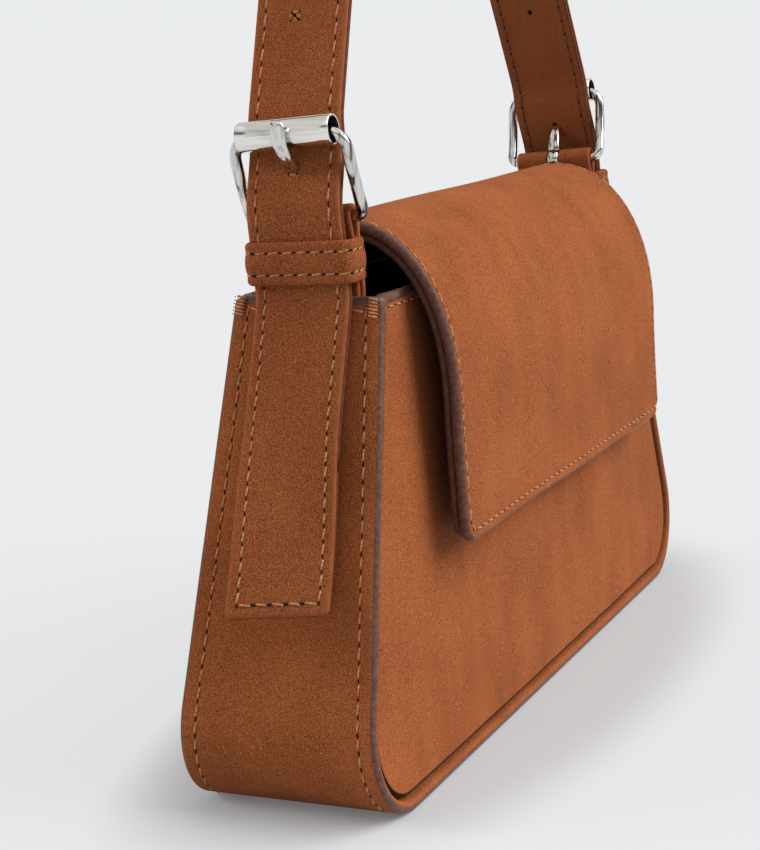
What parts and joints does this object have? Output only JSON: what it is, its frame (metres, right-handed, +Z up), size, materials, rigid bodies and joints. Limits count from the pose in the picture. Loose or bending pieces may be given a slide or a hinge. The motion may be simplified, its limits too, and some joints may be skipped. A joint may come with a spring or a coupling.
{
  "type": "shoulder bag",
  "caption": "Small flap shoulder bag in tan nubuck: tapered box body, rolled front flap with hidden snap, and a short strap held by roller buckles.",
  "frame": {"origin": "middle of the flat underside", "axes": "X along the bag's length, front and flap face -Y, +Z up"},
  "size_m": [0.2664, 0.0613, 0.3234],
  "materials": {
    "tan_nubuck": "matt tan nubuck with fine nap, painted cut edges",
    "tan_nubuck_flesh_side": "matt brown reverse leather",
    "black_lining_cloth": "black woven lining",
    "grey_board": "plain grey stiffening board",
    "chrome_plated_zinc": "polished bright plating",
    "nickel_plated_steel": "satin nickel plating"
  },
  "bodies": {
    "bag": {"gusset_strip": "tan_nubuck", "front_panel": "tan_nubuck", "back_panel": "tan_nubuck", "lining": "black_lining_cloth", "bottom_board": "grey_board", "flap_back_lap": "tan_nubuck", "snap_socket": "nickel_plated_steel", "snap_socket_washer": "nickel_plated_steel", "left_strap_end_face": "tan_nubuck", "left_strap_end_backing": "tan_nubuck_flesh_side", "left_tail_backing": "tan_nubuck_flesh_side", "left_strap_bend_face": "tan_nubuck", "left_strap_bend_backing": "tan_nubuck_flesh_side", "left_anchor_tab": "tan_nubuck", "left_buckle_frame": "chrome_plated_zinc", "right_strap_end_face": "tan_nubuck", "right_strap_end_backing": "tan_nubuck_flesh_side", "right_tail_backing": "tan_nubuck_flesh_side", "right_strap_bend_face": "tan_nubuck", "right_strap_bend_backing": "tan_nubuck_flesh_side", "right_anchor_tab": "tan_nubuck", "right_buckle_frame": "chrome_plated_zinc"},
    "flap": {"flap_outer": "tan_nubuck", "flap_lining": "tan_nubuck_flesh_side", "snap_stud": "nickel_plated_steel"},
    "strap": {"strap_face": "tan_nubuck", "strap_backing": "tan_nubuck_flesh_side"},
    "left_roller_body": {"left_roller": "chrome_plated_zinc"},
    "left_prong_body": {"left_prong": "chrome_plated_zinc"},
    "left_keeper_body": {"left_keeper": "tan_nubuck"},
    "right_roller_body": {"right_roller": "chrome_plated_zinc"},
    "right_prong_body": {"right_prong": "chrome_plated_zinc"},
    "right_keeper_body": {"right_keeper": "tan_nubuck"}
  },
  "joints": [
    {"name": "flap_hinge", "type": "hinge", "parent": "bag", "child": "flap", "pos_m": [0, 0.02068, 0.1242], "axis": [-1, 0, 0], "range_deg": [0, 75]},
    {"name": "strap_swing", "type": "hinge", "parent": "bag", "child": "strap", "pos_m": [0, 0.0038, 0.17651], "axis": [-1, 0, 0], "range_deg": [-30, 65], "deforming": ["left_strap_bend_face", "left_strap_bend_backing", "right_strap_bend_face", "right_strap_bend_backing"]},
    {"name": "left_roller_spin", "type": "hinge", "parent": "bag", "child": "left_roller_body", "pos_m": [-0.1041, 0.00301, 0.16604], "axis": [0, 0.9972, -0.075], "continuous": true},
    {"name": "left_prong_pivot", "type": "hinge", "parent": "bag", "child": "left_prong_body", "pos_m": [-0.0973, 0.00139, 0.14455], "axis": [0, -0.9972, 0.075], "range_deg": [0, 10]},
    {"name": "left_keeper_slide", "type": "slide", "parent": "bag", "child": "left_keeper_body", "axis": [0, 0.075, 0.9972], "range_m": [-0.0022, 0]},
    {"name": "right_roller_spin", "type": "hinge", "parent": "bag", "child": "right_roller_body", "pos_m": [0.1041, 0.00301, 0.16604], "axis": [0, 0.9972, -0.075], "continuous": true},
    {"name": "right_prong_pivot", "type": "hinge", "parent": "bag", "child": "right_prong_body", "pos_m": [0.0973, 0.00139, 0.14455], "axis": [0, 0.9972, -0.075], "range_deg": [0, 10]},
    {"name": "right_keeper_slide", "type": "slide", "parent": "bag", "child": "right_keeper_body", "axis": [0, 0.075, 0.9972], "range_m": [-0.0022, 0]}
  ]
}
